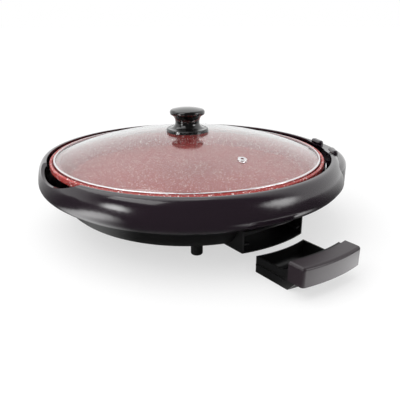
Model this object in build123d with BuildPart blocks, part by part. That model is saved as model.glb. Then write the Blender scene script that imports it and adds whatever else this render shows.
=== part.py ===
from build123d import *
import os
from math import atan2, cos, degrees, radians, sin, sqrt

os.makedirs("parts", exist_ok=True)

# Electric grill pan. The pan's axis is Z and the table is z = 0.
# The grease tray points along -Y and the finger scoop along -X.

# Driving sizes, in millimetres

# Lid
lid_radius = 180.0
lid_top_z = 124.0
glass_sphere_radius = 535.0
glass_thickness = 4.0
glass_edge_inset = 1.0
rim_inner_radius = 177.6
rim_band_height = 6.8
rim_band_round = 0.8
vent_distance = 120.4
vent_angle = -92.0
vent_flange_radius = 5.75
vent_tube_radius = 4.2
vent_bore_radius = 2.0
vent_flange_thickness = 0.9

# Knob
knob_foot_radius = 28.8
knob_foot_height = 3.2
knob_waist_radius = 16.6
knob_waist_z = 137.0
knob_cap_radius = 23.8
knob_cap_z = 149.6
knob_top_z = 155.8
knob_skirt_gap = 0.3
knob_skirt_depth = 1.0
gasket_radius = 12.0
gasket_thickness = 0.9
knob_screw_radius = 2.5
knob_screw_head_radius = 4.6
knob_screw_head_height = 2.6
knob_screw_depth = 15.0
knob_washer_radius = 8.0
knob_washer_thickness = 1.2

# Pan
pan_floor_z = 66.5
pan_thickness = 3.5
pan_floor_radius = 161.0
pan_rim_radius = 185.0
pan_ledge_z = 88.4
pan_ledge_inner_radius = 171.5
pan_lid_gap = 1.2
pan_rim_top_z = 94.4
pan_rim_lip_width = 3.7
pan_rim_lip_depth = 7.6
pan_wall_round = 4.0
drain_distance = 153.0
drain_hole_radius = 3.5
drain_chamfer = 0.9

# Housing ring, which is wider towards the inlet than the pan
inlet_angle = -28.0
ring_wall = 2.8
ring_bottom_z = 46.6
ring_wide_z = 66.5
ring_top_z = 95.5
ring_bottom_radius = 177.0
ring_wide_radius = 206.3
ring_top_radius = 193.8
ring_mouth_radius = 191.2
ring_wide_shift = 5.5
ring_top_shift = 3.0
ring_base_opening = 175.0
ring_seat_radius = 182.0
ring_seat_z = 50.8
ring_land_bottom_z = 48.0
ring_flank_power = 1.7
ring_levels_each_way = 5
scoop_half_width = 56.0
scoop_depth = 11.7
inlet_dip_half_width = 48.0
inlet_dip_depth = 3.0
notch_angle = -106.0
notch_count = 3
notch_width = 9.5
notch_height = 5.0
notch_depth = 1.4
notch_z = 59.5

# Plug guard
guard_arc_radius = 150.0
guard_reach = 219.0
guard_bottom_z = 50.0
guard_top_z = 92.0
guard_round = 9.0
ear_width = 24.0
ear_thickness = 9.0
ear_distance = 201.5
ear_half_angle = 8.5
ear_top_z = 98.5
ear_foot_z = 82.0
ear_round = 3.6
plug_window_width = 60.0
plug_window_bottom_z = 54.2
plug_window_height = 24.5
plug_window_round = 5.0
plug_shroud_start = 192.5
plug_shroud_wall = 2.0

# Lower base
base_wall = 2.5
base_bottom_z = 17.0
base_bottom_radius = 143.4
base_top_radius = 174.6
base_flank_bulge = 5.0
base_flange_thickness = 2.2
base_foot_chamfer = 1.0
seat_clearance = 0.3
vent_slot_count = 12
vent_slot_length = 26.0
vent_slot_width = 4.0
vent_slot_distance = 68.0
post_radius = 5.0
post_distance = 100.0
post_count = 4

# Feet
foot_radius = 7.25
foot_distance = 128.0
foot_angles = (60.0, 120.0, -120.0, -60.0)
foot_names = ("foot_back_right", "foot_back_left", "foot_front_left", "foot_front_right")
foot_edge_round = 2.2
foot_screw_recess_radius = 3.6
foot_screw_recess_depth = 8.0
foot_boss_radius = 6.0
foot_boss_height = 7.0
foot_screw_length = 14.0
foot_screw_hole_depth = 15.0

# Tray guide
guide_width = 95.0
guide_wall = 2.0
guide_floor_thickness = 1.6
guide_bottom_z = 20.3
guide_top_z = 46.2
guide_front_radius = 181.0
guide_back_y = -141.0
guide_clearance = 0.3
ledge_thickness = 1.8
lug_spacing = 32.0
lug_width = 12.0
lug_length = 14.0
lug_thickness = 1.6
lug_screw_length = 4.0

# Grease tray, drawn out along -Y and lying on the table
tray_drawn_out = 44.0
tray_width = 75.0
tray_height = 19.8
tray_wall = 2.0
tray_back_radius = 147.8
tray_front_radius = 195.3
tray_sweep_radius = 14.0
tray_riser_back_radius = 197.3
tray_riser_front_radius = 207.0
tray_riser_slope_z = 13.0
tray_riser_hollow_depth = 9.2
tray_front_wall = 2.5
tray_rib_radius = 172.0
tray_rib_height = 12.0
tray_rib_thickness = 1.2
tray_runner_z = 9.0
tray_runner_height = 2.2
tray_runner_width = 1.8
tray_runner_front_radius = 190.0
tray_side_clearance = 0.5
tray_inner_round = 7.0

# Tray handle
handle_width = 89.5
handle_back_radius = 202.8
handle_front_radius = 222.7
handle_bottom_z = 16.2
handle_top_z = 38.0
handle_wall = 2.5
handle_corner_round = 4.0
handle_edge_round = 3.2
handle_screw_angle = 6.1
handle_screw_z = 24.5
handle_screw_length = 8.2
handle_boss_radius = 3.6

# Heating element and terminals
element_radius = 105.0
element_tube_radius = 3.7
element_leg_offset = 14.0
element_bend_radius = 12.0
element_gap = 0.2
clip_count = 4
clip_width = 10.0
clip_thickness = 1.0
clip_foot = 7.0
terminal_distance = 172.0
bracket_back_distance = 176.0
bracket_depth = 8.0
bracket_width = 52.0
bracket_bottom_z = 53.4
bracket_top_z = 74.0
bracket_wall = 1.2
bracket_arm_width = 18.0
bracket_arm_start = 137.0
bracket_screw_distances = (142.0, 150.0)
pin_radius = 3.0
pin_length = 12.0
pin_neck_radius = 2.6
pin_neck_length = 7.3
bush_radius = 4.2
bush_length = 5.5
bush_clearance = 0.05
probe_tube_radius = 3.2
probe_bore_radius = 2.5
probe_tube_start = 157.0
probe_tube_length = 25.0
probe_tube_drop = 1.2

# Reflector and supports
reflector_thickness = 0.8
reflector_z = 47.2
reflector_radius = 168.0
reflector_lip_height = 5.0
reflector_spout_hole_radius = 7.2
reflector_screw_length = 10.0
support_distance = 135.0
support_count = 4
support_width = 14.0
support_foot = 12.0
support_thickness = 1.4
pad_thickness = 1.0

# Drain spout
spout_outlet_distance = 158.5
spout_outlet_radius = 5.0
spout_cup_radius = 9.0
spout_wall = 1.4
spout_gap = 0.5

# Small screws
screw_radius = 1.5
screw_head_radius = 3.0
screw_head_height = 1.8
housing_screw_length = 4.2
housing_screw_count = 6
housing_screw_distance = 177.8

# Sizes worked out from the driving sizes
glass_centre_z = lid_top_z - glass_sphere_radius
glass_inner_radius = glass_sphere_radius - glass_thickness
glass_edge_radius = lid_radius - glass_edge_inset
pan_underside_z = pan_floor_z - pan_thickness
inlet_x = cos(radians(inlet_angle))
inlet_y = sin(radians(inlet_angle))
inlet_plane = Plane(origin=(0, 0, 0), x_dir=(inlet_x, inlet_y, 0), z_dir=(0, 0, 1))
tray_plane = Plane(origin=(0, -tray_drawn_out, 0))
element_z = pan_underside_z - element_gap - element_tube_radius
base_floor_top_z = base_bottom_z + base_wall
base_flange_z = ring_seat_z
base_flange_top_z = base_flange_z + base_flange_thickness
housing_screw_start = inlet_angle + 30
guide_floor_top_z = guide_bottom_z + guide_floor_thickness
guide_roof_z = guide_top_z - guide_floor_thickness
guide_inner_half = guide_width / 2 - guide_wall
lug_y = guide_back_y + lug_length / 2 + 1
tray_run_z = guide_floor_top_z + guide_clearance
handle_hollow_top_z = handle_top_z - handle_wall
support_bottom_z = reflector_z + reflector_thickness
support_top_z = pan_underside_z - pad_thickness
support_start = inlet_angle + 45


def glass_height(radius, sphere_radius=glass_sphere_radius):
    """Height of the dome's surface at a distance from the pan's axis."""
    return glass_centre_z + sqrt(sphere_radius**2 - radius**2)


def ring_levels(bottom, wide, top, wall):
    """Radius, shift towards the inlet and height of each level: a slanting flank under a quarter ellipse."""
    levels = []
    for step in range(ring_levels_each_way, 0, -1):
        drop = step / ring_levels_each_way
        spread = 1 - drop**ring_flank_power
        radius = bottom + (wide - bottom) * spread
        height = ring_wide_z - (ring_wide_z - ring_bottom_z - wall) * drop
        levels.append((radius, ring_wide_shift * spread, height))
    for step in range(ring_levels_each_way + 1):
        turn = radians(90.0 * step / ring_levels_each_way)
        radius = top + (wide - top) * cos(turn)
        height = ring_wide_z + (ring_top_z - wall - ring_wide_z) * sin(turn)
        levels.append((radius, ring_top_shift + (ring_wide_shift - ring_top_shift) * cos(turn), height))
    return levels


def shifted_plane(shift, height):
    """Level plane whose centre lies off the pan's axis, towards the inlet."""
    return Plane(origin=(shift * inlet_x, shift * inlet_y, height))


def polar_point(angle, distance, height=0.0):
    """Point at an angle and distance from the pan's axis."""
    return (distance * cos(radians(angle)), distance * sin(radians(angle)), height)


def facing_plane(angle, distance, centre=(0, 0, 0)):
    """Upright plane that faces outwards from a centre; its own Y is the height."""
    outward = Vector(cos(radians(angle)), sin(radians(angle)), 0)
    return Plane(origin=Vector(*centre) + outward * distance, x_dir=(-outward.Y, outward.X, 0), z_dir=outward)


def side_plane(angle, distance, centre=(0, 0, 0)):
    """Upright plane that holds the outward direction as its X and the height as its Y."""
    outward = Vector(cos(radians(angle)), sin(radians(angle)), 0)
    return Plane(origin=Vector(*centre) + outward * distance, x_dir=outward, z_dir=(outward.Y, -outward.X, 0))


def plug_passage(wall, mode):
    """Rounded box along the plug's way, grown by a wall on each side, for the current part."""
    with BuildSketch(facing_plane(inlet_angle, plug_shroud_start - ring_wall + wall)) as window:
        with Locations((0, plug_window_bottom_z + plug_window_height / 2)):
            RectangleRounded(
                plug_window_width + 2 * wall,
                plug_window_height + 2 * wall,
                plug_window_round + wall,
            )
    extrude(window.sketch, amount=guard_reach, mode=mode)


def screw(seat, length):
    """Screw in the current part, its shank along the seat plane's Z and its head behind it."""
    with BuildSketch(seat) as shank:
        Circle(screw_radius)
    extrude(shank.sketch, amount=length)
    with BuildSketch(seat) as head:
        Circle(screw_head_radius)
    extrude(head.sketch, amount=-screw_head_height)


def arc_band(inner_radius, outer_radius, width):
    """Curved strip of the current sketch, between two arcs about the centre, on the -Y side."""
    Circle(outer_radius)
    Circle(inner_radius, mode=Mode.SUBTRACT)
    Rectangle(width, outer_radius + 1, align=(Align.CENTER, Align.MAX), mode=Mode.INTERSECT)


def save(piece, name):
    """Label a finished piece and write its STEP file."""
    piece.part.label = name
    export_step(piece.part, f"parts/{name}.step")


# Glass dome
with BuildPart() as lid_glass:
    with BuildSketch(Plane.XZ):
        with BuildLine():
            outer_edge = (glass_edge_radius, glass_height(glass_edge_radius))
            inner_edge = (glass_edge_radius, glass_height(glass_edge_radius, glass_inner_radius))
            middle = glass_edge_radius / 2
            bore = knob_screw_radius + seat_clearance
            outer_bore = (bore, glass_height(bore))
            inner_bore = (bore, glass_height(bore, glass_inner_radius))
            ThreePointArc(outer_bore, (middle, glass_height(middle)), outer_edge)
            Line(outer_edge, inner_edge)
            ThreePointArc(inner_edge, (middle, glass_height(middle, glass_inner_radius)), inner_bore)
            Line(inner_bore, outer_bore)
        make_face()
    revolve(axis=Axis.Z)
    vent_x = vent_distance * cos(radians(vent_angle))
    vent_y = vent_distance * sin(radians(vent_angle))
    vent_point = Vector(vent_x, vent_y, glass_height(vent_distance))
    vent_normal = vent_point - Vector(0, 0, glass_centre_z)
    vent_plane = Plane(origin=vent_point, z_dir=vent_normal)
    with BuildSketch(vent_plane.offset(vent_flange_thickness)):
        Circle(vent_tube_radius + bush_clearance)
    extrude(amount=-2 * glass_thickness, mode=Mode.SUBTRACT)
save(lid_glass, "lid_glass")

# Steel band round the glass
with BuildPart() as lid_rim:
    with BuildSketch(Plane.XZ):
        with Locations((rim_inner_radius, pan_ledge_z)):
            Rectangle(
                lid_radius - rim_inner_radius,
                rim_band_height,
                align=(Align.MIN, Align.MIN),
            )
        fillet(vertices().group_by(Axis.X)[-1], rim_band_round)
    revolve(axis=Axis.Z)
    add(lid_glass.part, mode=Mode.SUBTRACT)
    # the band grips the edge and leaves the glass free inside it
    with BuildSketch(Plane.XY.offset(pan_ledge_z - 1)):
        Circle(rim_inner_radius)
    extrude(amount=rim_band_height + 2, mode=Mode.SUBTRACT)
save(lid_rim, "lid_rim")

# Steam vent eyelet
with BuildPart() as steam_vent:
    with BuildSketch(vent_plane):
        Circle(vent_flange_radius)
    extrude(amount=vent_flange_thickness)
    fillet(edges().group_by(SortBy.LENGTH)[-1].sort_by(Axis.Z)[-1], vent_flange_thickness / 2)
    with BuildSketch(vent_plane):
        Circle(vent_tube_radius)
    extrude(amount=-(glass_thickness + vent_flange_thickness))
    with BuildSketch(vent_plane.offset(-glass_thickness)):
        Circle(vent_flange_radius)
    extrude(amount=-vent_flange_thickness)
    with BuildSketch(vent_plane.offset(2 * vent_flange_thickness)):
        Circle(vent_bore_radius)
    extrude(amount=-3 * glass_thickness, mode=Mode.SUBTRACT)
    add(lid_glass.part, mode=Mode.SUBTRACT)
save(steam_vent, "steam_vent")

# Knob, turned about the pan's axis
knob_bottom_z = lid_top_z + gasket_thickness
with BuildPart() as lid_knob:
    with BuildSketch(Plane.XZ):
        with BuildLine():
            foot_top = knob_bottom_z + knob_foot_height
            skirt_z = glass_height(knob_foot_radius) + knob_skirt_gap
            skirt_inner = knob_foot_radius - 2 * knob_skirt_depth
            Polyline(
                (0, knob_top_z),
                (0, knob_bottom_z),
                (skirt_inner, knob_bottom_z),
                (skirt_inner, skirt_z),
                (knob_foot_radius, skirt_z),
                (knob_foot_radius, foot_top - 1),
            )
            shoulder = (knob_foot_radius - 3, foot_top)
            ThreePointArc(
                (knob_foot_radius, foot_top - 1),
                (knob_foot_radius - 0.9, foot_top - 0.25),
                shoulder,
            )
            ThreePointArc(
                shoulder,
                (knob_waist_radius + 2.0, foot_top + 2.6),
                (knob_waist_radius, knob_waist_z),
            )
            ThreePointArc(
                (knob_waist_radius, knob_waist_z),
                (knob_waist_radius + 2.2, knob_waist_z + 6.6),
                (knob_cap_radius - 1.2, knob_cap_z - 3.2),
            )
            ThreePointArc(
                (knob_cap_radius - 1.2, knob_cap_z - 3.2),
                (knob_cap_radius, knob_cap_z),
                (knob_cap_radius - 2.4, knob_cap_z + 3.4),
            )
            crown_radius = knob_cap_radius - 2.4
            crown_rise = knob_top_z - knob_cap_z - 3.4
            crown_sphere = (crown_radius**2 + crown_rise**2) / (2 * crown_rise)
            crown_middle_z = knob_top_z - crown_sphere + sqrt(crown_sphere**2 - crown_radius**2 / 4)
            ThreePointArc(
                (crown_radius, knob_cap_z + 3.4),
                (crown_radius / 2, crown_middle_z),
                (0, knob_top_z),
            )
        make_face()
    revolve(axis=Axis.Z)
    with BuildSketch(Plane.XY.offset(knob_bottom_z)):
        Circle(knob_screw_radius)
    extrude(amount=knob_screw_depth, mode=Mode.SUBTRACT)
save(lid_knob, "lid_knob")

# Gasket between glass and knob
with BuildPart() as knob_gasket:
    with BuildSketch(Plane.XY.offset(knob_bottom_z)):
        Circle(gasket_radius)
        Circle(knob_screw_radius + seat_clearance, mode=Mode.SUBTRACT)
    extrude(amount=-2 * gasket_thickness)
    add(lid_glass.part, mode=Mode.SUBTRACT)
save(knob_gasket, "knob_gasket")

# Washer and screw under the glass
washer_top_z = glass_height(knob_washer_radius, glass_inner_radius)
with BuildPart() as knob_washer:
    with BuildSketch(Plane.XY.offset(washer_top_z)):
        Circle(knob_washer_radius)
        Circle(knob_screw_radius + seat_clearance, mode=Mode.SUBTRACT)
    extrude(amount=-knob_washer_thickness)
save(knob_washer, "knob_washer")

washer_bottom_z = washer_top_z - knob_washer_thickness
with BuildPart() as knob_screw:
    with BuildSketch(Plane.XY.offset(washer_bottom_z - knob_screw_head_height)):
        Circle(knob_screw_head_radius)
    extrude(amount=knob_screw_head_height)
    fillet(edges().group_by(Axis.Z)[0], knob_screw_head_height / 3)
    with BuildSketch(Plane.XY.offset(washer_bottom_z)):
        Circle(knob_screw_radius)
    extrude(amount=knob_bottom_z + knob_screw_depth - washer_bottom_z)
save(knob_screw, "knob_screw")

# Pan, with a ledge for the lid inside its rolled rim
with BuildPart() as pan:
    with BuildSketch(Plane.XZ):
        with BuildLine():
            wall_foot = (pan_floor_radius, pan_floor_z)
            ledge_start = (pan_ledge_inner_radius, pan_ledge_z)
            ledge_end = (lid_radius + pan_lid_gap, pan_ledge_z)
            lip_inner = (lid_radius + pan_lid_gap, pan_rim_top_z - pan_rim_lip_width / 2)
            lip_top = (pan_rim_radius - pan_rim_lip_width / 2, pan_rim_top_z)
            lip_outer = (pan_rim_radius, pan_rim_top_z - pan_rim_lip_width / 2)
            lip_foot = (pan_rim_radius, pan_rim_top_z - pan_rim_lip_depth)
            skirt = (pan_ledge_inner_radius + pan_thickness, pan_ledge_z - pan_thickness)
            Polyline(
                (0, pan_underside_z),
                (0, pan_floor_z),
                wall_foot,
                ledge_start,
                ledge_end,
                lip_inner,
            )
            Line(lip_inner, lip_top)
            Line(lip_top, lip_outer)
            Polyline(
                lip_outer,
                lip_foot,
                (pan_rim_radius - pan_thickness / 2, pan_rim_top_z - pan_rim_lip_depth),
                skirt,
                (pan_floor_radius + pan_thickness, pan_underside_z),
                (0, pan_underside_z),
            )
        make_face()
        corners = vertices()
        floor_corner = corners.sort_by_distance(wall_foot)[0]
        under_corner = corners.sort_by_distance((pan_floor_radius + pan_thickness, pan_underside_z))[0]
        fillet(floor_corner, pan_wall_round)
        fillet(under_corner, pan_wall_round + pan_thickness)
        lip_corners = vertices().filter_by(lambda v: v.Y > lip_inner[1] - 0.01)
        fillet(lip_corners, 0.8)
    revolve(axis=Axis.Z)
    with BuildSketch(Plane.XY.offset(pan_underside_z - 1)):
        with Locations((0, -drain_distance)):
            Circle(drain_hole_radius)
    extrude(amount=pan_thickness + 2, mode=Mode.SUBTRACT)
    drain_edge = edges().filter_by(GeomType.CIRCLE).filter_by(
        lambda e: abs(e.radius - drain_hole_radius) < 0.01 and abs(e.center().Z - pan_floor_z) < 0.01
    )
    chamfer(drain_edge, drain_chamfer)
    # blind holes for the bracket's screws
    with BuildSketch(Plane.XY.offset(pan_underside_z)):
        for distance in bracket_screw_distances:
            with PolarLocations(distance, 1, start_angle=inlet_angle):
                Circle(screw_radius)
    extrude(amount=pan_thickness / 2, mode=Mode.SUBTRACT)
save(pan, "pan")

# Sheathed element, a ring with two legs towards the inlet
element_plane = inlet_plane.offset(element_z)
bend_centre_v = element_leg_offset + element_bend_radius
bend_centre_u = sqrt((element_radius + element_bend_radius) ** 2 - bend_centre_v**2)
bend_turn = degrees(atan2(bend_centre_v, bend_centre_u))
with BuildPart() as heating_element:
    with BuildLine(element_plane) as element_path:
        Line((terminal_distance, element_leg_offset), (bend_centre_u, element_leg_offset))
        CenterArc((bend_centre_u, bend_centre_v), element_bend_radius, 270, bend_turn - 90)
        CenterArc((0, 0), element_radius, bend_turn, 360 - 2 * bend_turn)
        CenterArc((bend_centre_u, -bend_centre_v), element_bend_radius, 180 - bend_turn, bend_turn - 90)
        Line((bend_centre_u, -element_leg_offset), (terminal_distance, -element_leg_offset))
    leg_end = Plane(
        origin=element_plane.from_local_coords(Vector(terminal_distance, element_leg_offset, 0)),
        z_dir=(-inlet_x, -inlet_y, 0),
    )
    with BuildSketch(leg_end):
        Circle(element_tube_radius)
    sweep(path=element_path.wire())
save(heating_element, "heating_element")

# Straps that hold the element against the pan
with BuildPart() as element_clips:
    clip_inner = element_tube_radius + 0.3
    clip_outer = clip_inner + clip_thickness
    clip_bottom = element_z - element_tube_radius - clip_thickness
    clip_top = pan_underside_z
    for turn in range(clip_count):
        clip_plane = side_plane(inlet_angle + 45 + 360 / clip_count * turn, element_radius)
        with BuildSketch(clip_plane.offset(-clip_width / 2)):
            with BuildLine():
                Polyline(
                    (-clip_outer - clip_foot, clip_top),
                    (-clip_outer - clip_foot, clip_top - clip_thickness),
                    (-clip_outer, clip_top - clip_thickness),
                    (-clip_outer, clip_bottom),
                    (clip_outer, clip_bottom),
                    (clip_outer, clip_top - clip_thickness),
                    (clip_outer + clip_foot, clip_top - clip_thickness),
                    (clip_outer + clip_foot, clip_top),
                    (clip_inner, clip_top),
                    (clip_inner, clip_bottom + clip_thickness),
                    (-clip_inner, clip_bottom + clip_thickness),
                    (-clip_inner, clip_top),
                    close=True,
                )
            make_face()
        extrude(amount=clip_width)
save(element_clips, "element_clips")

# Terminal bracket: an arm under the pan and a box round the pins, open outwards
with BuildPart() as terminal_bracket:
    box_height = bracket_top_z - bracket_bottom_z
    with BuildSketch(inlet_plane.offset(bracket_bottom_z)):
        with Locations((bracket_back_distance, 0)):
            Rectangle(bracket_depth, bracket_width, align=(Align.MIN, Align.CENTER))
    extrude(amount=box_height)
    with BuildSketch(inlet_plane.offset(bracket_bottom_z + bracket_wall)):
        with Locations((bracket_back_distance + bracket_wall, 0)):
            Rectangle(
                bracket_depth,
                bracket_width - 2 * bracket_wall,
                align=(Align.MIN, Align.CENTER),
            )
    extrude(amount=box_height - 2 * bracket_wall, mode=Mode.SUBTRACT)
    with BuildSketch(inlet_plane.offset(pan_underside_z)):
        with Locations((bracket_arm_start, 0)):
            Rectangle(
                bracket_back_distance + bracket_wall - bracket_arm_start,
                bracket_arm_width,
                align=(Align.MIN, Align.CENTER),
            )
    extrude(amount=-bracket_wall)
    pin_plane = facing_plane(inlet_angle, terminal_distance, (0, 0, element_z))
    probe_plane = facing_plane(inlet_angle, probe_tube_start, (0, 0, element_z - probe_tube_drop))
    with BuildSketch(pin_plane):
        with Locations((element_leg_offset, 0), (-element_leg_offset, 0)):
            Circle(bush_radius)
        with Locations((0, -probe_tube_drop)):
            Circle(probe_tube_radius + bush_clearance)
    extrude(amount=bracket_back_distance - terminal_distance + 2 * bracket_wall, mode=Mode.SUBTRACT)
    with BuildSketch(Plane.XY.offset(pan_underside_z)):
        for distance in bracket_screw_distances:
            with PolarLocations(distance, 1, start_angle=inlet_angle):
                Circle(screw_radius + seat_clearance)
    extrude(amount=-bracket_wall, mode=Mode.SUBTRACT)
save(terminal_bracket, "terminal_bracket")

with BuildPart() as bracket_screws:
    for distance in bracket_screw_distances:
        seat_point = polar_point(inlet_angle, distance, pan_underside_z - bracket_wall)
        screw(Plane(origin=seat_point), bracket_wall + pan_thickness / 2)
save(bracket_screws, "bracket_screws")

# Terminal pins, continuing the element's legs
with BuildPart() as terminal_pins:
    with BuildSketch(pin_plane):
        with Locations((element_leg_offset, 0), (-element_leg_offset, 0)):
            Circle(pin_neck_radius)
    extrude(amount=pin_neck_length)
    with BuildSketch(pin_plane.offset(pin_neck_length)):
        with Locations((element_leg_offset, 0), (-element_leg_offset, 0)):
            Circle(pin_radius)
    extrude(amount=pin_length)
save(terminal_pins, "terminal_pins")

# Ceramic bushes round the pins
with BuildPart() as terminal_bushes:
    with BuildSketch(pin_plane.offset(bracket_wall)):
        with Locations((element_leg_offset, 0), (-element_leg_offset, 0)):
            Circle(bush_radius)
            Circle(pin_neck_radius + bush_clearance, mode=Mode.SUBTRACT)
    extrude(amount=bush_length)
save(terminal_bushes, "terminal_bushes")

# Tube that takes the thermostat's probe
with BuildPart() as probe_tube:
    with BuildSketch(probe_plane):
        Circle(probe_tube_radius)
    extrude(amount=probe_tube_length)
    with BuildSketch(probe_plane.offset(1)):
        Circle(probe_bore_radius)
    extrude(amount=probe_tube_length, mode=Mode.SUBTRACT)
save(probe_tube, "probe_tube")

# The ring's outer form as a solid, used for the ring and for what fits against it
with BuildPart() as ring_form:
    for level_radius, level_shift, level_z in ring_levels(
        ring_bottom_radius, ring_wide_radius, ring_top_radius, 0
    ):
        with BuildSketch(shifted_plane(level_shift, level_z)):
            Circle(level_radius)
    loft()

# Housing ring
with BuildPart() as housing_ring:
    add(ring_form.part)
    for level_radius, level_shift, level_z in ring_levels(
        ring_bottom_radius - ring_wall, ring_wide_radius - ring_wall, ring_mouth_radius, ring_wall
    ):
        with BuildSketch(shifted_plane(level_shift, level_z)):
            Circle(level_radius)
    loft(mode=Mode.SUBTRACT)
    with BuildSketch(shifted_plane(ring_top_shift, ring_top_z - 2 * ring_wall)):
        Circle(ring_mouth_radius)
    extrude(amount=4 * ring_wall, mode=Mode.SUBTRACT)
    with BuildSketch(Plane.XY.offset(ring_bottom_z - ring_wall)):
        Circle(ring_base_opening)
    extrude(amount=4 * ring_wall, mode=Mode.SUBTRACT)
    # land with a flat seat and screw holes for the base's flange
    with BuildPart(mode=Mode.PRIVATE) as seat_land:
        with BuildSketch(Plane.XY.offset(ring_land_bottom_z)):
            Circle(ring_seat_radius + ring_wall)
            Circle(ring_base_opening, mode=Mode.SUBTRACT)
        extrude(amount=ring_seat_z - ring_land_bottom_z)
        add(ring_form.part, mode=Mode.INTERSECT)
    add(seat_land.part)
    with BuildSketch(Plane.XY.offset(ring_seat_z)):
        Circle(ring_seat_radius)
    extrude(amount=ring_wall, mode=Mode.SUBTRACT)
    with BuildSketch(Plane.XY.offset(ring_seat_z)):
        with PolarLocations(housing_screw_distance, housing_screw_count, start_angle=housing_screw_start):
            Circle(screw_radius)
    extrude(amount=base_flange_thickness - housing_screw_length, mode=Mode.SUBTRACT)
    # finger scoop: a shallow arc cut across the rim
    scoop_radius = (scoop_half_width**2 + scoop_depth**2) / (2 * scoop_depth)
    with BuildSketch(Plane.YZ.offset(-ring_wide_radius - ring_wide_shift)):
        with Locations((0, ring_top_z - scoop_depth + scoop_radius)):
            Circle(scoop_radius)
    extrude(amount=ring_wide_radius / 4, mode=Mode.SUBTRACT)
    # shallower dip over the inlet
    dip_radius = (inlet_dip_half_width**2 + inlet_dip_depth**2) / (2 * inlet_dip_depth)
    with BuildSketch(facing_plane(inlet_angle, ring_wide_radius + 2 * ring_wide_shift)):
        with Locations((0, ring_top_z - inlet_dip_depth + dip_radius)):
            Circle(dip_radius)
    extrude(amount=-ring_wide_radius / 4, mode=Mode.SUBTRACT)
    # shroud round the plug's way, from the ring's wall inwards
    with BuildPart(mode=Mode.PRIVATE) as plug_shroud:
        plug_passage(plug_shroud_wall, Mode.ADD)
        add(ring_form.part, mode=Mode.INTERSECT)
    add(plug_shroud.part)
    plug_passage(0, Mode.SUBTRACT)
    # shallow notches low on the outside
    notch_spread = 1 - ((ring_wide_z - notch_z) / (ring_wide_z - ring_bottom_z)) ** ring_flank_power
    notch_radius = ring_bottom_radius + (ring_wide_radius - ring_bottom_radius) * notch_spread
    notch_centre = polar_point(inlet_angle, ring_wide_shift * notch_spread, notch_z)
    for turn in range(notch_count):
        face_angle = notch_angle + 360 / notch_count * turn
        with BuildSketch(facing_plane(face_angle, notch_radius - notch_depth, notch_centre)):
            RectangleRounded(notch_width, notch_height, notch_depth / 2)
        extrude(amount=4 * notch_depth, mode=Mode.SUBTRACT)
save(housing_ring, "housing_ring")

# Plug guard: a crescent against the ring with two ears over the inlet
with BuildPart() as inlet_guard:
    with BuildSketch(inlet_plane.offset(guard_bottom_z)):
        with Locations((guard_reach - guard_arc_radius, 0)):
            Circle(guard_arc_radius)
    extrude(amount=guard_top_z - guard_bottom_z)
    fillet(edges().group_by(Axis.Z)[0] + edges().group_by(Axis.Z)[-1], guard_round)
    with BuildPart(mode=Mode.PRIVATE) as guard_ear:
        with BuildSketch(inlet_plane.offset(ear_foot_z)):
            for side in (-1, 1):
                with PolarLocations(ear_distance, 1, start_angle=side * ear_half_angle):
                    Rectangle(ear_thickness, ear_width)
        extrude(amount=ear_top_z - ear_foot_z)
        fillet(edges().filter_by(Axis.Z), ear_round)
        fillet(edges().group_by(Axis.Z)[-1], ear_round * 0.9)
    add(guard_ear.part)
    add(ring_form.part, mode=Mode.SUBTRACT)
    plug_passage(0, Mode.SUBTRACT)
save(inlet_guard, "inlet_guard")

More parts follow.
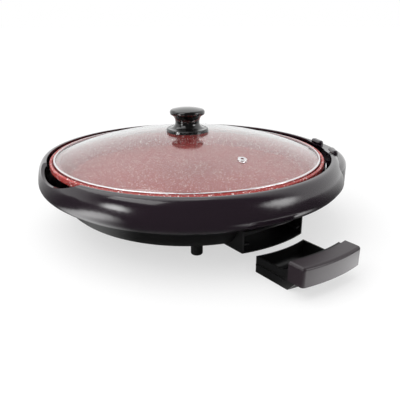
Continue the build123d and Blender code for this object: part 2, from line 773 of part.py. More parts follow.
# Lower base
with BuildPart() as lower_base:
    with BuildSketch(Plane.XZ):
        with BuildLine():
            flank_foot = Vector(base_bottom_radius, base_bottom_z + base_foot_chamfer)
            flank_top = Vector(base_top_radius, ring_bottom_z)
            flank_line = (flank_top - flank_foot).normalized()
            flank_out = Vector(flank_line.Y, -flank_line.X)
            flank_middle = (flank_foot + flank_top) / 2 + flank_out * base_flank_bulge
            inner_foot = Vector(base_bottom_radius - base_wall, base_floor_top_z)
            inner_top = flank_top - Vector(base_wall, 0)
            inner_middle = flank_middle - flank_out * base_wall
            Polyline(
                (0, base_bottom_z),
                (base_bottom_radius - base_foot_chamfer, base_bottom_z),
                flank_foot,
            )
            ThreePointArc(flank_foot, flank_middle, flank_top)
            Polyline(
                flank_top,
                (base_top_radius, base_flange_z),
                (ring_seat_radius - seat_clearance, base_flange_z),
                (ring_seat_radius - seat_clearance, base_flange_top_z),
                (base_top_radius - base_wall, base_flange_top_z),
                inner_top,
            )
            ThreePointArc(inner_top, inner_middle, inner_foot)
            Polyline(inner_foot, (0, base_floor_top_z), (0, base_bottom_z))
        make_face()
    revolve(axis=Axis.Z)
    # posts that carry the reflector
    with BuildSketch(Plane.XY.offset(base_floor_top_z)):
        with PolarLocations(post_distance, post_count, start_angle=45):
            Circle(post_radius)
    extrude(amount=reflector_z - base_floor_top_z)
    with BuildSketch(Plane.XY.offset(reflector_z)):
        with PolarLocations(post_distance, post_count, start_angle=45):
            Circle(screw_radius)
    extrude(amount=-reflector_screw_length, mode=Mode.SUBTRACT)
    # bosses over the feet
    with BuildSketch(Plane.XY.offset(base_floor_top_z)):
        for foot_angle in foot_angles:
            with PolarLocations(foot_distance, 1, start_angle=foot_angle):
                Circle(foot_boss_radius)
    extrude(amount=foot_boss_height)
    with BuildSketch(Plane.XY.offset(foot_screw_recess_depth + foot_screw_hole_depth)):
        for foot_angle in foot_angles:
            with PolarLocations(foot_distance, 1, start_angle=foot_angle):
                Circle(screw_radius)
    extrude(amount=-foot_screw_hole_depth, mode=Mode.SUBTRACT)
    # vents
    with BuildSketch(Plane.XY.offset(base_bottom_z)):
        with PolarLocations(vent_slot_distance, vent_slot_count):
            SlotOverall(vent_slot_length, vent_slot_width)
    extrude(amount=base_wall, mode=Mode.SUBTRACT)
    # way through the flank for the tray guide
    with BuildSketch(Plane.XY.offset(base_floor_top_z)):
        with Locations((0, guide_back_y + guide_wall)):
            Rectangle(
                guide_width + 2 * guide_clearance,
                ring_wide_radius,
                align=(Align.CENTER, Align.MAX),
            )
    extrude(amount=guide_top_z + guide_clearance - base_floor_top_z, mode=Mode.SUBTRACT)
    # screw holes in the flange and for the guide's lugs
    with BuildSketch(Plane.XY.offset(base_flange_z)):
        with PolarLocations(housing_screw_distance, housing_screw_count, start_angle=housing_screw_start):
            Circle(screw_radius + seat_clearance)
    extrude(amount=base_flange_thickness, mode=Mode.SUBTRACT)
    with BuildSketch(Plane.XY.offset(base_bottom_z)):
        with Locations((-lug_spacing / 2, lug_y), (lug_spacing / 2, lug_y)):
            Circle(screw_radius)
    extrude(amount=base_wall, mode=Mode.SUBTRACT)
save(lower_base, "lower_base")

# Tray guide: a box open at the front, with ledges for the tray's runners
with BuildPart() as tray_guide:
    with BuildSketch(Plane.XY.offset(guide_bottom_z)):
        Circle(guide_front_radius)
        with Locations((0, guide_back_y)):
            Rectangle(guide_width, guide_front_radius, align=(Align.CENTER, Align.MAX), mode=Mode.INTERSECT)
    extrude(amount=guide_top_z - guide_bottom_z)
    with BuildSketch(Plane.XY.offset(guide_floor_top_z)):
        with Locations((0, guide_back_y - guide_wall)):
            Rectangle(2 * guide_inner_half, guide_front_radius, align=(Align.CENTER, Align.MAX))
    extrude(amount=guide_roof_z - guide_floor_top_z, mode=Mode.SUBTRACT)
    with BuildSketch(Plane.XY.offset(tray_run_z + tray_runner_z - guide_clearance)):
        Circle(guide_front_radius - guide_wall)
        with Locations((0, guide_back_y)):
            Rectangle(guide_width, guide_front_radius, align=(Align.CENTER, Align.MAX), mode=Mode.INTERSECT)
        Rectangle(tray_width + 2 * tray_side_clearance, 2 * guide_front_radius, mode=Mode.SUBTRACT)
    extrude(amount=-ledge_thickness)
    # lugs on the base's floor
    with BuildSketch(Plane.XY.offset(base_floor_top_z)):
        with Locations((-lug_spacing / 2, lug_y), (lug_spacing / 2, lug_y)):
            Rectangle(lug_width, lug_length + 2 * guide_wall)
    extrude(amount=lug_thickness)
    with BuildSketch(Plane.XY.offset(base_floor_top_z)):
        with Locations((-lug_spacing / 2, lug_y), (lug_spacing / 2, lug_y)):
            Circle(screw_radius + seat_clearance)
    extrude(amount=lug_thickness, mode=Mode.SUBTRACT)
    with BuildSketch(Plane.XY.offset(guide_roof_z)):
        with Locations((0, -spout_outlet_distance)):
            Circle(spout_outlet_radius + bush_clearance)
    extrude(amount=guide_floor_thickness, mode=Mode.SUBTRACT)
save(tray_guide, "tray_guide")

# Drain spout, from under the pan's hole down into the tray guide
with BuildPart() as drain_spout:
    spout_top_z = pan_underside_z - spout_gap
    for mode, inset in ((Mode.ADD, 0), (Mode.SUBTRACT, spout_wall)):
        with BuildSketch(Plane.XY.offset(spout_top_z)):
            with Locations((0, -drain_distance)):
                Circle(spout_cup_radius - inset)
        with BuildSketch(Plane.XY.offset(guide_top_z)):
            with Locations((0, -spout_outlet_distance)):
                Circle(spout_outlet_radius - inset)
        loft(mode=mode)
        with BuildSketch(Plane.XY.offset(guide_top_z)):
            with Locations((0, -spout_outlet_distance)):
                Circle(spout_outlet_radius - inset)
        extrude(amount=guide_roof_z - guide_top_z, mode=mode)
save(drain_spout, "drain_spout")

# Reflector plate
with BuildPart() as reflector_plate:
    with BuildSketch(Plane.XY.offset(reflector_z)):
        Circle(reflector_radius)
    extrude(amount=reflector_lip_height)
    with BuildSketch(Plane.XY.offset(reflector_z + reflector_thickness)):
        Circle(reflector_radius - reflector_thickness)
    extrude(amount=reflector_lip_height, mode=Mode.SUBTRACT)
    with BuildSketch(Plane.XY.offset(reflector_z)):
        with Locations((0, (-spout_outlet_distance * 5 - drain_distance) / 6)):
            Circle(reflector_spout_hole_radius)
        with PolarLocations(post_distance, post_count, start_angle=45):
            Circle(screw_radius + seat_clearance)
    extrude(amount=reflector_thickness, mode=Mode.SUBTRACT)
save(reflector_plate, "reflector_plate")

# Supports that carry the pan, standing on the reflector
with BuildPart() as pan_supports:
    for turn in range(support_count):
        support_plane = side_plane(support_start + 360 / support_count * turn, support_distance)
        with BuildSketch(support_plane.offset(-support_width / 2)):
            with BuildLine():
                Polyline(
                    (-support_foot, support_bottom_z),
                    (support_thickness, support_bottom_z),
                    (support_thickness, support_top_z - support_thickness),
                    (support_foot + support_thickness, support_top_z - support_thickness),
                    (support_foot + support_thickness, support_top_z),
                    (0, support_top_z),
                    (0, support_bottom_z + support_thickness),
                    (-support_foot, support_bottom_z + support_thickness),
                    close=True,
                )
            make_face()
        extrude(amount=support_width)
save(pan_supports, "pan_supports")

with BuildPart() as support_pads:
    for turn in range(support_count):
        support_plane = side_plane(support_start + 360 / support_count * turn, support_distance)
        with BuildSketch(support_plane.offset(-support_width / 2)):
            with Locations((0, support_top_z)):
                Rectangle(
                    support_foot + support_thickness,
                    pad_thickness,
                    align=(Align.MIN, Align.MIN),
                )
        extrude(amount=support_width)
save(support_pads, "support_pads")

# Feet
for foot_name, foot_angle in zip(foot_names, foot_angles):
    with BuildPart() as foot:
        with BuildSketch(Plane(origin=polar_point(foot_angle, foot_distance))):
            Circle(foot_radius)
        extrude(amount=base_bottom_z)
        fillet(edges().group_by(Axis.Z)[0], foot_edge_round)
        with BuildSketch(Plane(origin=polar_point(foot_angle, foot_distance))):
            Circle(foot_screw_recess_radius)
        extrude(amount=foot_screw_recess_depth, mode=Mode.SUBTRACT)
        with BuildSketch(Plane(origin=polar_point(foot_angle, foot_distance))):
            Circle(screw_radius + seat_clearance)
        extrude(amount=base_bottom_z, mode=Mode.SUBTRACT)
    save(foot, foot_name)

with BuildPart() as foot_screws:
    for foot_angle in foot_angles:
        seat_point = polar_point(foot_angle, foot_distance, foot_screw_recess_depth)
        screw(Plane(origin=seat_point), foot_screw_length)
save(foot_screws, "foot_screws")

# Screws that hold the base's flange to the ring
with BuildPart() as housing_screws:
    for turn in range(housing_screw_count):
        screw_angle = housing_screw_start + 360 / housing_screw_count * turn
        seat_point = polar_point(screw_angle, housing_screw_distance, base_flange_top_z)
        screw(Plane(origin=seat_point, z_dir=(0, 0, -1)), housing_screw_length)
save(housing_screws, "housing_screws")

with BuildPart() as guide_screws:
    for side in (-1, 1):
        seat_point = (side * lug_spacing / 2, lug_y, base_floor_top_z + lug_thickness)
        screw(Plane(origin=seat_point, z_dir=(0, 0, -1)), lug_screw_length)
save(guide_screws, "guide_screws")

with BuildPart() as reflector_screws:
    for turn in range(post_count):
        seat_point = polar_point(45 + 360 / post_count * turn, post_distance, support_bottom_z)
        screw(Plane(origin=seat_point, z_dir=(0, 0, -1)), reflector_screw_length)
save(reflector_screws, "reflector_screws")

# Grease tray: curved front and back walls about its own centre, and a riser for the handle
tray_centre = (0, -tray_drawn_out, 0)
tray_section = side_plane(-90, 0, tray_centre)
with BuildPart() as tray_outside:
    with BuildSketch(tray_section):
        with BuildLine():
            sweep_start = (tray_riser_back_radius - tray_sweep_radius, tray_height)
            sweep_middle = (
                sweep_start[0] + tray_sweep_radius * sin(radians(45)),
                tray_height + tray_sweep_radius * (1 - cos(radians(45))),
            )
            sweep_end = (tray_riser_back_radius, tray_height + tray_sweep_radius)
            Polyline(
                (tray_front_radius, 0),
                (tray_back_radius, 0),
                (tray_back_radius, tray_height),
                sweep_start,
            )
            ThreePointArc(sweep_start, sweep_middle, sweep_end)
            Polyline(
                sweep_end,
                (tray_riser_back_radius, handle_hollow_top_z),
                (tray_riser_front_radius, handle_hollow_top_z),
                (tray_riser_front_radius, tray_riser_slope_z),
                (tray_front_radius, 0),
            )
        make_face()
    revolve(axis=Axis(tray_centre, (0, 0, 1)))
    with BuildSketch(tray_plane):
        Rectangle(tray_width, handle_front_radius, align=(Align.CENTER, Align.MAX))
    extrude(amount=handle_top_z, mode=Mode.INTERSECT)

with BuildPart() as tray_inside:
    with BuildSketch(tray_section):
        with Locations((tray_back_radius + tray_wall, tray_wall)):
            Rectangle(
                tray_front_radius - tray_back_radius - 2 * tray_wall,
                handle_top_z,
                align=(Align.MIN, Align.MIN),
            )
        fillet(vertices().group_by(Axis.Y)[0], tray_inner_round)
    revolve(axis=Axis(tray_centre, (0, 0, 1)))
    with BuildSketch(tray_plane):
        Rectangle(tray_width - 2 * tray_wall, handle_front_radius, align=(Align.CENTER, Align.MAX))
    extrude(amount=2 * handle_top_z, mode=Mode.INTERSECT)

with BuildPart() as drip_tray:
    add(tray_outside.part)
    add(tray_inside.part, mode=Mode.SUBTRACT)
    # rib across the tray
    with BuildSketch(tray_plane.offset(tray_wall)):
        arc_band(tray_rib_radius, tray_rib_radius + tray_rib_thickness, tray_width - tray_wall)
    extrude(amount=tray_rib_height - tray_wall)
    # riser hollowed from below
    with BuildSketch(tray_plane):
        arc_band(
            tray_front_radius - tray_wall + tray_front_wall,
            tray_front_radius - tray_wall + tray_front_wall + tray_riser_hollow_depth,
            tray_width - 2 * tray_wall,
        )
    extrude(amount=handle_hollow_top_z - tray_wall, mode=Mode.SUBTRACT)
    # runners on the sides
    with BuildSketch(tray_plane.offset(tray_runner_z)):
        arc_band(tray_back_radius + tray_wall, tray_runner_front_radius, tray_width + 2 * tray_runner_width)
        Rectangle(tray_width - tray_wall, 3 * tray_runner_front_radius, mode=Mode.SUBTRACT)
    extrude(amount=tray_runner_height)
    for side in (-1, 1):
        with BuildSketch(facing_plane(-90 + side * handle_screw_angle, tray_rib_radius, tray_centre)):
            with Locations((0, handle_screw_z)):
                Circle(screw_radius + seat_clearance)
        extrude(until=Until.LAST, mode=Mode.SUBTRACT)
save(drip_tray, "drip_tray")

# Handle over the riser
with BuildPart() as tray_handle:
    with BuildSketch(tray_plane.offset(handle_bottom_z)):
        arc_band(handle_back_radius, handle_front_radius, handle_width)
    extrude(amount=handle_top_z - handle_bottom_z)
    fillet(edges().filter_by(Axis.Z).group_by(Axis.Y)[0], handle_corner_round)
    top_edges = edges().group_by(Axis.Z)[-1]
    fillet(top_edges - top_edges.group_by(Axis.Y)[-1], handle_edge_round)
    with BuildSketch(tray_plane.offset(handle_bottom_z)):
        arc_band(
            handle_back_radius - handle_wall,
            handle_front_radius - handle_wall,
            handle_width - 2 * handle_wall,
        )
    extrude(amount=handle_hollow_top_z - handle_bottom_z, mode=Mode.SUBTRACT)
    for side in (-1, 1):
        boss_start = tray_riser_front_radius + bush_clearance
        boss_plane = facing_plane(-90 + side * handle_screw_angle, boss_start, tray_centre)
        with BuildSketch(boss_plane):
            with Locations((0, handle_screw_z)):
                Circle(handle_boss_radius)
        extrude(amount=handle_front_radius - handle_wall / 2 - boss_start)
        with BuildSketch(boss_plane):
            with Locations((0, handle_screw_z)):
                Circle(screw_radius)
        extrude(amount=handle_screw_length, mode=Mode.SUBTRACT)
save(tray_handle, "tray_handle")

with BuildPart() as handle_screws:
    hollow_front_radius = tray_front_radius - tray_wall + tray_front_wall + tray_riser_hollow_depth
    for side in (-1, 1):
        seat = facing_plane(
            -90 + side * handle_screw_angle,
            hollow_front_radius - bush_clearance,
            (0, -tray_drawn_out, handle_screw_z),
        )
        screw(seat, handle_screw_length)
save(handle_screws, "handle_screws")
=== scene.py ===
import math

import bpy
from bpy.props import FloatProperty, FloatVectorProperty, PointerProperty
from bpy.types import Operator, Panel, PropertyGroup
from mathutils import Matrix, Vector

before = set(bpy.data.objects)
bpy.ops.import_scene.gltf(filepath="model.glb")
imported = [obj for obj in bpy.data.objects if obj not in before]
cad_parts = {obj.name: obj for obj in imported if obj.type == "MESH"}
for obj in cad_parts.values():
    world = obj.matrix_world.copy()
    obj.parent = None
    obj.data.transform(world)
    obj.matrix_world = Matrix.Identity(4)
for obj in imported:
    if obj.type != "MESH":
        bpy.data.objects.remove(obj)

bl_info = {
    "name": "Electric grill pan",
    "version": (1, 0, 0),
    "blender": (4, 5, 0),
    "location": "View3D > Sidebar > Grill",
    "description": "Surfaces, lamps and camera for the electric grill pan",
    "category": "Object",
}

# Shared node groups, by name
GRAIN = "Moulded grain"
BRUSHED = "Brushed round the axis"
SPECKS = "Coating specks"

# Level direction that the camera looks in, towards the side where gloss sees white
BACK_WAY = (0.588, 0.809)
# Light of the room and floor in front of the object, as gloss sees them
DIM = 0.06
# Where gloss sees the floor turn from dim to white, in metres along the way back
FLOOR_FADE = (-0.1, 0.5)
# The same for a direction into the room, and what its height counts there
ROOM_FADE = (-0.6, -0.1)
ROOM_DROP = -0.35
# Share of plain white in the floor as the camera sees it, which lightens the shadow
FLOOR_WHITE = 0.6
# Floor's side, in metres
FLOOR_SIZE = 60.0
# Broad lamp above: its turn, and how wide its light spreads
SUN_TURN = (math.radians(-18), math.radians(-14), 0)
SUN_SPREAD = math.radians(60)
# High soft box: place, the point that it faces, width, height and power
SOFT_BOX_PLACE = (-0.9, -0.2, 0.9)
SOFT_BOX_AIM = (0.0, 0.0, 0.06)
SOFT_BOX_WIDTH = 0.7
SOFT_BOX_HEIGHT = 0.5
SOFT_BOX_POWER = 3.0
# Part of a bright patch's reach that has its full strength
PATCH_CORE = 0.25
# Bright patches that gloss sees: middle, reach each way and strength; those on the floor are painted light
# Painted light pools: emission on the floor that only gloss sees, placed to give highlights
PAINTED_FLOOR_POOLS = (
    ((-0.5, -0.02, 0.0), (0.4, 0.15, 1.0), 5.0),
    ((0.04, -0.29, 0.0), (0.14, 0.1, 1.0), 3.0),
)
ROOM_PATCHES = (
    ((-0.985, -0.03, 0.05), (0.5, 0.24, 0.24), 9.0),
    ((0.48, -0.83, 0.22), (0.34, 0.28, 0.3), 5.0),
)


def new_group(name, inputs, outputs):
    """Empty shader node group with its sockets; returns the group, its input node and its output node."""
    group = bpy.data.node_groups.new(name, "ShaderNodeTree")
    for socket, value in inputs:
        made = group.interface.new_socket(socket, in_out="INPUT", socket_type="NodeSocketFloat")
        made.default_value = value
    for socket in outputs:
        group.interface.new_socket(socket, in_out="OUTPUT", socket_type="NodeSocketFloat")
    return group, group.nodes.new("NodeGroupInput"), group.nodes.new("NodeGroupOutput")


def math_node(tree, operation, first, second=None, clamp=False):
    """Math node; each operand is a socket or a number."""
    node = tree.nodes.new("ShaderNodeMath")
    node.operation = operation
    node.use_clamp = clamp
    for index, value in enumerate((first, second)):
        if value is None:
            continue
        if isinstance(value, (int, float)):
            node.inputs[index].default_value = value
        else:
            tree.links.new(value, node.inputs[index])
    return node.outputs[0]


def vector_node(tree, operation, first, second=None):
    """Vector math node on a socket and, where one is given, a plain vector."""
    node = tree.nodes.new("ShaderNodeVectorMath")
    node.operation = operation
    tree.links.new(first, node.inputs[0])
    if second is not None:
        node.inputs[1].default_value = second
    return node


def noise(tree, vector, scale, detail=2.0):
    """Noise value at a vector; the scale is a socket or a number."""
    node = tree.nodes.new("ShaderNodeTexNoise")
    node.inputs["Detail"].default_value = detail
    tree.links.new(vector, node.inputs["Vector"])
    if isinstance(scale, (int, float)):
        node.inputs["Scale"].default_value = scale
    else:
        tree.links.new(scale, node.inputs["Scale"])
    return node.outputs["Fac"]


def build_grain():
    """Fine height for moulded plastic, and a slow change of roughness and tone."""
    group, given, made = new_group(
        GRAIN, [("Scale", 900.0), ("Roughness", 0.3), ("Spread", 0.06)], ["Roughness", "Height", "Tone"]
    )
    place = group.nodes.new("ShaderNodeTexCoord").outputs["Object"]
    fine = noise(group, place, given.outputs["Scale"], 3.0)
    slow = noise(group, place, 14.0, 3.0)
    centred = math_node(group, "SUBTRACT", slow, 0.5)
    spread = math_node(group, "MULTIPLY", centred, given.outputs["Spread"])
    rough = math_node(group, "ADD", spread, given.outputs["Roughness"], clamp=True)
    group.links.new(rough, made.inputs["Roughness"])
    group.links.new(fine, made.inputs["Height"])
    group.links.new(slow, made.inputs["Tone"])


def build_brushed():
    """Fine lines that run round the pan's axis."""
    group, given, made = new_group(
        BRUSHED, [("Roughness", 0.25), ("Spread", 0.15), ("Lines", 1500.0)], ["Roughness", "Height", "Tone"]
    )
    place = group.nodes.new("ShaderNodeTexCoord").outputs["Object"]
    split = group.nodes.new("ShaderNodeSeparateXYZ")
    group.links.new(place, split.inputs[0])
    turn = math_node(group, "ARCTAN2", split.outputs["Y"], split.outputs["X"])
    level = group.nodes.new("ShaderNodeCombineXYZ")
    group.links.new(split.outputs["X"], level.inputs["X"])
    group.links.new(split.outputs["Y"], level.inputs["Y"])
    flat = vector_node(group, "LENGTH", level.outputs[0])
    polar = group.nodes.new("ShaderNodeCombineXYZ")
    group.links.new(math_node(group, "MULTIPLY", turn, 0.004), polar.inputs["X"])
    group.links.new(flat.outputs["Value"], polar.inputs["Y"])
    group.links.new(split.outputs["Z"], polar.inputs["Z"])
    lines = noise(group, polar.outputs[0], given.outputs["Lines"], 2.0)
    centred = math_node(group, "SUBTRACT", lines, 0.5)
    spread = math_node(group, "MULTIPLY", centred, given.outputs["Spread"])
    rough = math_node(group, "ADD", spread, given.outputs["Roughness"], clamp=True)
    group.links.new(rough, made.inputs["Roughness"])
    group.links.new(lines, made.inputs["Height"])
    group.links.new(lines, made.inputs["Tone"])


def build_specks():
    """Mask of small irregular specks, in two sizes."""
    group, given, made = new_group(SPECKS, [("Scale", 260.0), ("Amount", 0.3)], ["Specks", "Height"])
    place = group.nodes.new("ShaderNodeTexCoord").outputs["Object"]
    masks = []
    for factor in (1.0, 2.1):
        cells = group.nodes.new("ShaderNodeTexVoronoi")
        cells.feature = "F1"
        group.links.new(place, cells.inputs["Vector"])
        group.links.new(math_node(group, "MULTIPLY", given.outputs["Scale"], factor), cells.inputs["Scale"])
        colour = group.nodes.new("ShaderNodeSeparateColor")
        group.links.new(cells.outputs["Color"], colour.inputs[0])
        size = math_node(group, "MULTIPLY", colour.outputs[0], given.outputs["Amount"])
        inside = math_node(group, "SUBTRACT", size, cells.outputs["Distance"])
        masks.append(math_node(group, "MULTIPLY", inside, 14.0, clamp=True))
    both = math_node(group, "MAXIMUM", masks[0], masks[1])
    group.links.new(both, made.inputs["Specks"])
    group.links.new(noise(group, place, 700.0, 2.0), made.inputs["Height"])


def build_groups():
    """Build each shared node group once."""
    for name, build in ((GRAIN, build_grain), (BRUSHED, build_brushed), (SPECKS, build_specks)):
        if name not in bpy.data.node_groups:
            build()


class Surface:
    """A material under construction: a Principled shader and helpers to feed it."""

    def __init__(self, name):
        self.material = bpy.data.materials.new(name)
        self.material.use_nodes = True
        self.tree = self.material.node_tree
        self.tree.nodes.clear()
        self.out = self.tree.nodes.new("ShaderNodeOutputMaterial")
        self.shader = self.tree.nodes.new("ShaderNodeBsdfPrincipled")
        self.tree.links.new(self.shader.outputs[0], self.out.inputs["Surface"])

    def set(self, **values):
        """Set constants on the shader's own sockets; underscores stand for spaces."""
        for name, value in values.items():
            self.shader.inputs[name.replace("_", " ")].default_value = value
        return self

    def use(self, group_name, **values):
        """Add a shared group with these input values."""
        node = self.tree.nodes.new("ShaderNodeGroup")
        node.node_tree = bpy.data.node_groups[group_name]
        for name, value in values.items():
            node.inputs[name].default_value = value
        return node

    def feed(self, socket, name):
        """Link a socket to the shader's input."""
        self.tree.links.new(socket, self.shader.inputs[name])
        return self

    def bump(self, height, strength, distance):
        """Feed a height through a bump into the shader's normal."""
        node = self.tree.nodes.new("ShaderNodeBump")
        node.inputs["Strength"].default_value = strength
        node.inputs["Distance"].default_value = distance
        self.tree.links.new(height, node.inputs["Height"])
        self.tree.links.new(node.outputs["Normal"], self.shader.inputs["Normal"])
        return self

    def blend(self, factor, first, second):
        """Colour between two, by a factor socket."""
        node = self.tree.nodes.new("ShaderNodeMix")
        node.data_type = "RGBA"
        self.tree.links.new(factor, node.inputs["Factor"])
        node.inputs[6].default_value = (*first, 1.0)
        node.inputs[7].default_value = (*second, 1.0)
        return node.outputs[2]


def plastic(name, colour, roughness, spread, height, coat=0.0):
    """Moulded plastic or rubber."""
    surface = Surface(name)
    texture = surface.use(GRAIN, Roughness=roughness, Spread=spread)
    darker = tuple(part * 0.8 for part in colour)
    surface.feed(surface.blend(texture.outputs["Tone"], darker, colour), "Base Color")
    surface.feed(texture.outputs["Roughness"], "Roughness")
    surface.bump(texture.outputs["Height"], 0.25, height)
    surface.set(Coat_Weight=coat, Coat_Roughness=0.05)
    return surface.material


def metal(name, colour, roughness, spread, lines=1500.0):
    """Plain or brushed metal."""
    surface = Surface(name)
    texture = surface.use(BRUSHED, Roughness=roughness, Spread=spread, Lines=lines)
    darker = tuple(part * 0.85 for part in colour)
    surface.feed(surface.blend(texture.outputs["Tone"], darker, colour), "Base Color")
    surface.feed(texture.outputs["Roughness"], "Roughness")
    surface.bump(texture.outputs["Height"], 0.15, 0.00005)
    surface.set(Metallic=1.0)
    return surface.material


def coating(name, colour, speck, roughness):
    """Non-stick coating with light specks."""
    surface = Surface(name)
    texture = surface.use(SPECKS, Scale=340.0, Amount=0.4)
    grain = surface.use(GRAIN, Scale=500.0, Roughness=roughness, Spread=0.1)
    surface.feed(surface.blend(texture.outputs["Specks"], colour, speck), "Base Color")
    surface.feed(grain.outputs["Roughness"], "Roughness")
    surface.bump(texture.outputs["Height"], 0.2, 0.0001)
    return surface.material


def clear_glass(name, tint, roughness):
    """Tempered glass."""
    surface = Surface(name)
    texture = surface.use(GRAIN, Scale=60.0, Roughness=roughness, Spread=0.02)
    surface.feed(texture.outputs["Roughness"], "Roughness")
    surface.set(Base_Color=(*tint, 1.0), Transmission_Weight=1.0, IOR=1.47)
    return surface.material


def ramp(tree, value, low, high, start, end):
    """Value that runs smoothly from start to end while the given one runs from low to high."""
    node = tree.nodes.new("ShaderNodeMapRange")
    node.interpolation_type = "SMOOTHSTEP"
    tree.links.new(value, node.inputs["Value"])
    for name, number in (("From Min", low), ("From Max", high), ("To Min", start), ("To Max", end)):
        node.inputs[name].default_value = number
    return node.outputs["Result"]


def backward(tree, place, drop):
    """How far a place or a direction lies behind the object; drop counts its height."""
    return vector_node(tree, "DOT_PRODUCT", place, (*BACK_WAY, drop)).outputs["Value"]


def patches(tree, vector, value, given):
    """Add soft-edged bright patches to a value, round their middles in the vector's space."""
    for middle, reach, strength in given:
        apart = vector_node(tree, "SUBTRACT", vector, middle).outputs["Vector"]
        shares = vector_node(tree, "DIVIDE", apart, reach).outputs["Vector"]
        distance = vector_node(tree, "LENGTH", shares).outputs["Value"]
        value = math_node(tree, "ADD", value, ramp(tree, distance, PATCH_CORE, 1.0, strength, 0.0))
    return value


def floor_material():
    """White floor with a light shadow; gloss sees painted light on it: dim in front, white behind, and
    painted bright pools standing in for lamp light.
    """
    surface = Surface("Floor white")
    tree = surface.tree
    texture = surface.use(GRAIN, Scale=200.0, Roughness=0.8, Spread=0.02)
    surface.feed(surface.blend(texture.outputs["Tone"], (0.92, 0.92, 0.92), (0.95, 0.95, 0.95)), "Base Color")
    surface.feed(texture.outputs["Roughness"], "Roughness")
    paths = tree.nodes.new("ShaderNodeLightPath")
    place = tree.nodes.new("ShaderNodeTexCoord").outputs["Object"]
    level = ramp(tree, backward(tree, place, 0.0), *FLOOR_FADE, DIM, 1.0)
    # Painted light and shade on the floor for gloss only: dim in front, white behind, bright painted pools
    gloss = tree.nodes.new("ShaderNodeEmission")
    tree.links.new(patches(tree, place, level, PAINTED_FLOOR_POOLS), gloss.inputs["Strength"])
    white = tree.nodes.new("ShaderNodeEmission")
    share = math_node(tree, "MULTIPLY", paths.outputs["Is Camera Ray"], FLOOR_WHITE)
    last = surface.shader.outputs[0]
    for factor, shader in ((share, white), (paths.outputs["Is Glossy Ray"], gloss)):
        mix = tree.nodes.new("ShaderNodeMixShader")
        tree.links.new(factor, mix.inputs[0])
        tree.links.new(last, mix.inputs[1])
        tree.links.new(shader.outputs[0], mix.inputs[2])
        last = mix.outputs[0]
    tree.links.new(last, surface.out.inputs["Surface"])
    return surface.material


def studio_world(surround):
    """White as the camera and glass see it, even light on the object, and a dim room in front for gloss."""
    world = bpy.data.worlds.new("Studio")
    world.use_nodes = True
    world.cycles.sampling_method = "NONE"
    tree = world.node_tree
    tree.nodes.clear()
    out = tree.nodes.new("ShaderNodeOutputWorld")
    light = tree.nodes.new("ShaderNodeBackground")
    light.inputs["Color"].default_value = (1, 1, 1, 1)
    paths = tree.nodes.new("ShaderNodeLightPath")
    way = tree.nodes.new("ShaderNodeTexCoord").outputs["Generated"]
    room = ramp(tree, backward(tree, way, ROOM_DROP), *ROOM_FADE, DIM, 1.0)
    room = patches(tree, way, room, ROOM_PATCHES)
    gloss = math_node(tree, "MULTIPLY", room, paths.outputs["Is Glossy Ray"])
    other = math_node(tree, "SUBTRACT", 1.0, paths.outputs["Is Glossy Ray"])
    strength = math_node(tree, "ADD", gloss, math_node(tree, "MULTIPLY", other, surround))
    seen = math_node(tree, "MAXIMUM", paths.outputs["Is Camera Ray"], paths.outputs["Is Transmission Ray"])
    tree.links.new(math_node(tree, "MAXIMUM", strength, seen), light.inputs["Strength"])
    tree.links.new(light.outputs[0], out.inputs["Surface"])
    return world


def dress(material, *nodes):
    """Give CAD nodes a material in each of their slots."""
    for name in nodes:
        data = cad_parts[name].data
        if not data.materials:
            data.materials.append(material)
        for index in range(len(data.materials)):
            data.materials[index] = material


class GrillLidSettings(PropertyGroup):
    glass_tint: FloatVectorProperty(
        name="Glass tint",
        description="Colour of the lid's glass",
        subtype="COLOR",
        default=(0.96, 0.98, 0.98),
    )
    glass_roughness: FloatProperty(
        name="Glass roughness", description="How dull the glass is", default=0.02, min=0.0, max=1.0
    )
    knob_colour: FloatVectorProperty(
        name="Knob", description="Colour of the knob", subtype="COLOR", default=(0.006, 0.005, 0.005)
    )
    steel_colour: FloatVectorProperty(
        name="Steel",
        description="Colour of the band round the glass",
        subtype="COLOR",
        default=(0.86, 0.85, 0.86),
    )


class GrillPanSettings(PropertyGroup):
    coating_colour: FloatVectorProperty(
        name="Coating", description="Colour of the coating", subtype="COLOR", default=(0.42, 0.035, 0.03)
    )
    speck_colour: FloatVectorProperty(
        name="Specks", description="Colour of the coating's specks", subtype="COLOR", default=(0.9, 0.72, 0.7)
    )
    roughness: FloatProperty(
        name="Roughness", description="How dull the coating is", default=0.35, min=0.0, max=1.0
    )


class GrillHousingSettings(PropertyGroup):
    ring_colour: FloatVectorProperty(
        name="Ring", description="Colour of the housing ring", subtype="COLOR", default=(0.015, 0.009, 0.014)
    )
    ring_roughness: FloatProperty(
        name="Ring roughness", description="How dull the ring is", default=0.16, min=0.0, max=1.0
    )
    base_colour: FloatVectorProperty(
        name="Base",
        description="Colour of the base, guide and tray",
        subtype="COLOR",
        default=(0.0045, 0.0045, 0.0048),
    )
    base_roughness: FloatProperty(
        name="Base roughness", description="How dull the base is", default=0.42, min=0.0, max=1.0
    )


class GrillTraySettings(PropertyGroup):
    handle_colour: FloatVectorProperty(
        name="Handle",
        description="Colour of the tray's handle",
        subtype="COLOR",
        default=(0.026, 0.018, 0.023),
    )
    handle_roughness: FloatProperty(
        name="Handle roughness", description="How dull the handle is", default=0.3, min=0.0, max=1.0
    )


class GrillStageSettings(PropertyGroup):
    camera_place: FloatVectorProperty(
        name="Camera",
        description="Place of the camera",
        subtype="XYZ",
        unit="LENGTH",
        default=(-0.3726, -0.5422, 0.2621),
    )
    camera_way: FloatVectorProperty(
        name="Direction",
        description="Direction that the camera looks in",
        subtype="XYZ",
        default=(0.552, 0.760, -0.342),
    )
    lens: FloatProperty(name="Lens", description="Focal length", unit="CAMERA", default=43.7, min=1.0)
    surround: FloatProperty(name="Surround", description="Light from all round", default=0.9, min=0.0)
    sun: FloatProperty(name="Sun", description="Strength of the broad lamp above", default=0.9, min=0.0)


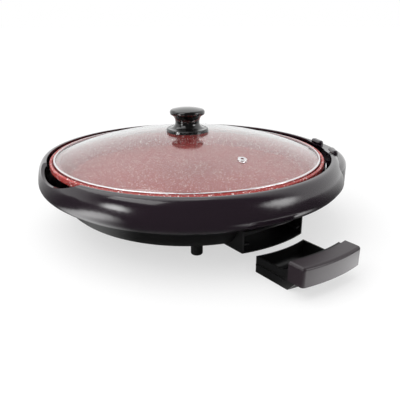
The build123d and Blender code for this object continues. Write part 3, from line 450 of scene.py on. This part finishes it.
class GRILL_OT_lid(Operator):
    """Dress the lid"""

    bl_idname = "grill.lid"
    bl_label = "Dress the lid"

    def execute(self, context):
        given = context.scene.grill_lid
        dress(clear_glass("Lid glass", given.glass_tint, given.glass_roughness), "lid_glass")
        dress(metal("Lid steel", given.steel_colour, 0.1, 0.06), "lid_rim", "steam_vent")
        dress(metal("Lid fixing", (0.6, 0.6, 0.6), 0.3, 0.1), "knob_washer", "knob_screw")
        dress(plastic("Lid knob", given.knob_colour, 0.1, 0.03, 0.00001, coat=0.5), "lid_knob")
        dress(plastic("Lid gasket", (0.01, 0.01, 0.01), 0.6, 0.1, 0.00005), "knob_gasket")
        return {"FINISHED"}


class GRILL_OT_pan(Operator):
    """Dress the pan and what it carries"""

    bl_idname = "grill.pan"
    bl_label = "Dress the pan"

    def execute(self, context):
        given = context.scene.grill_pan
        dress(coating("Pan coating", given.coating_colour, given.speck_colour, given.roughness), "pan")
        dress(metal("Element sheath", (0.12, 0.11, 0.11), 0.45, 0.2, 400.0), "heating_element")
        dress(
            metal("Pan fixings", (0.6, 0.6, 0.6), 0.35, 0.1),
            "element_clips", "terminal_bracket", "bracket_screws", "probe_tube",
        )
        dress(metal("Terminal pins", (0.7, 0.66, 0.55), 0.25, 0.1), "terminal_pins")
        dress(plastic("Bushes", (0.75, 0.73, 0.68), 0.55, 0.1, 0.00003), "terminal_bushes")
        return {"FINISHED"}


class GRILL_OT_housing(Operator):
    """Dress the housing, the base and its inside"""

    bl_idname = "grill.housing"
    bl_label = "Dress the housing"

    def execute(self, context):
        given = context.scene.grill_housing
        dress(
            plastic("Housing gloss", given.ring_colour, given.ring_roughness, 0.04, 0.00001, coat=0.4),
            "housing_ring", "inlet_guard",
        )
        dress(
            plastic("Base plastic", given.base_colour, given.base_roughness, 0.1, 0.00004),
            "lower_base", "tray_guide",
        )
        dress(
            plastic("Feet rubber", (0.008, 0.008, 0.008), 0.6, 0.1, 0.00005),
            "foot_back_right", "foot_back_left", "foot_front_left", "foot_front_right", "support_pads",
        )
        dress(
            metal("Base plates", (0.7, 0.7, 0.7), 0.4, 0.15),
            "reflector_plate", "drain_spout", "pan_supports",
        )
        dress(
            metal("Base screws", (0.55, 0.55, 0.55), 0.35, 0.1),
            "foot_screws", "housing_screws", "guide_screws", "reflector_screws",
        )
        return {"FINISHED"}


class GRILL_OT_tray(Operator):
    """Dress the grease tray"""

    bl_idname = "grill.tray"
    bl_label = "Dress the tray"

    def execute(self, context):
        given = context.scene.grill_tray
        base = context.scene.grill_housing
        dress(plastic("Tray plastic", base.base_colour, base.base_roughness, 0.1, 0.00004), "drip_tray")
        dress(
            plastic("Tray handle", given.handle_colour, given.handle_roughness, 0.06, 0.00003),
            "tray_handle",
        )
        dress(metal("Tray screws", (0.55, 0.55, 0.55), 0.35, 0.1), "handle_screws")
        return {"FINISHED"}


class GRILL_OT_stage(Operator):
    """Set the floor, the lamps and the camera"""

    bl_idname = "grill.stage"
    bl_label = "Set the stage"

    def execute(self, context):
        given = context.scene.grill_stage
        context.scene.view_settings.view_transform = "Standard"
        bpy.ops.mesh.primitive_plane_add(size=FLOOR_SIZE, location=(0, 0, 0))
        floor = context.active_object
        floor.name = "Floor"
        floor.data.materials.append(floor_material())
        bpy.ops.object.light_add(type="SUN", location=(0, 0, 2), rotation=SUN_TURN)
        sun = context.active_object
        sun.name = "Broad lamp"
        sun.data.energy = given.sun
        sun.data.angle = SUN_SPREAD
        bpy.ops.object.light_add(type="AREA", location=SOFT_BOX_PLACE)
        box = context.active_object
        box.name = "High soft box"
        box.data.shape = "RECTANGLE"
        box.data.size = SOFT_BOX_WIDTH
        box.data.size_y = SOFT_BOX_HEIGHT
        box.data.energy = SOFT_BOX_POWER
        box.rotation_euler = (Vector(SOFT_BOX_AIM) - box.location).to_track_quat("-Z", "Y").to_euler()
        box.visible_camera = False
        context.scene.world = studio_world(given.surround)

        bpy.ops.object.camera_add(location=given.camera_place)
        camera = context.active_object
        camera.name = "Camera"
        camera.rotation_euler = Vector(given.camera_way).to_track_quat("-Z", "Y").to_euler()
        camera.data.lens = given.lens
        camera.data.sensor_width = 36.0
        camera.data.clip_start = 0.01
        context.scene.camera = camera
        return {"FINISHED"}


class GRILL_PT_panel(Panel):
    """Settings and steps of the grill pan"""

    bl_idname = "GRILL_PT_panel"
    bl_label = "Electric grill pan"
    bl_space_type = "VIEW_3D"
    bl_region_type = "UI"
    bl_category = "Grill"

    def draw(self, context):
        for settings, step in STEPS:
            column = self.layout.column(align=True)
            given = getattr(context.scene, settings)
            for name in given.__annotations__:
                column.prop(given, name)
            column.operator(step)


STEPS = (
    ("grill_lid", "grill.lid"),
    ("grill_pan", "grill.pan"),
    ("grill_housing", "grill.housing"),
    ("grill_tray", "grill.tray"),
    ("grill_stage", "grill.stage"),
)
SETTINGS = {
    "grill_lid": GrillLidSettings,
    "grill_pan": GrillPanSettings,
    "grill_housing": GrillHousingSettings,
    "grill_tray": GrillTraySettings,
    "grill_stage": GrillStageSettings,
}
CLASSES = (
    *SETTINGS.values(),
    GRILL_OT_lid,
    GRILL_OT_pan,
    GRILL_OT_housing,
    GRILL_OT_tray,
    GRILL_OT_stage,
    GRILL_PT_panel,
)


def register():
    for cls in CLASSES:
        bpy.utils.register_class(cls)
    for name, cls in SETTINGS.items():
        setattr(bpy.types.Scene, name, PointerProperty(type=cls))


def unregister():
    for name in SETTINGS:
        delattr(bpy.types.Scene, name)
    for cls in reversed(CLASSES):
        bpy.utils.unregister_class(cls)


def main():
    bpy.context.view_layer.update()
    register()
    build_groups()
    bpy.ops.grill.lid()
    bpy.ops.grill.pan()
    bpy.ops.grill.housing()
    bpy.ops.grill.tray()
    bpy.ops.grill.stage()


if __name__ == "__main__":
    main()
